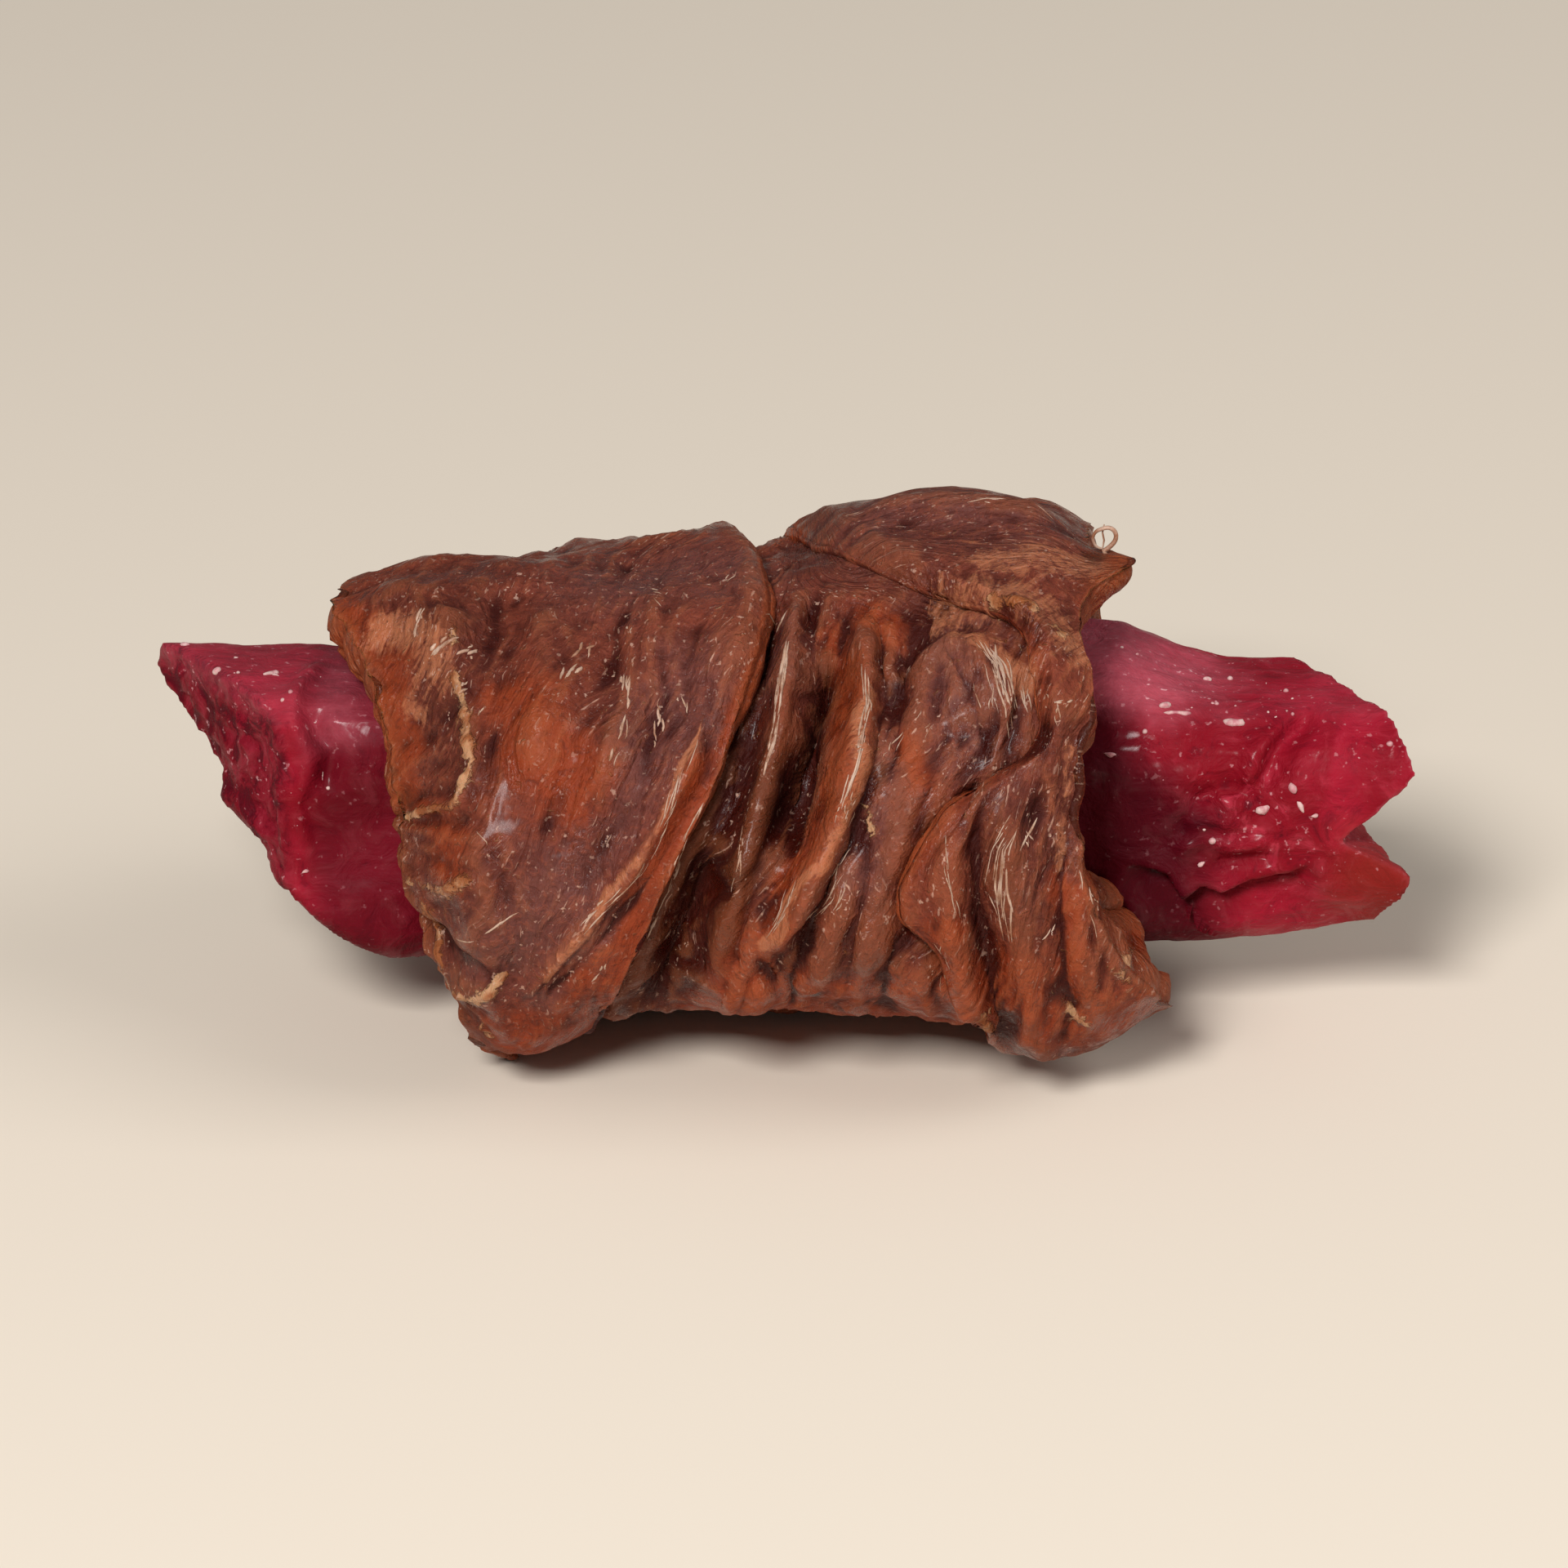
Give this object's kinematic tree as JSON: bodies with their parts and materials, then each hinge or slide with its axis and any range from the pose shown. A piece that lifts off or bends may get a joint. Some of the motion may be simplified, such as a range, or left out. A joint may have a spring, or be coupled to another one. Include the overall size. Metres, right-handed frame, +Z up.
{
  "type": "dog chew",
  "caption": "Dog chew: dried duck meat wound round a knife-cut stick of dried purple sweet potato, whose bare ends stick out of the meat.",
  "frame": {"origin": "under the middle of the chew's box, on the plane that it rests on", "axes": "+X along the stick, towards its split end; +Y away from the side with the gathered folds; +Z up"},
  "size_m": [0.0522, 0.0266, 0.0226],
  "materials": {
    "dried_sweet_potato": "semi-gloss, crimson, a little translucent",
    "dried_duck": "oily semi-gloss, brown meat with orange edges"
  },
  "bodies": {
    "root": {"sweet_potato_stick": "dried_sweet_potato", "duck_wrap": "dried_duck"}
  },
  "joints": []
}
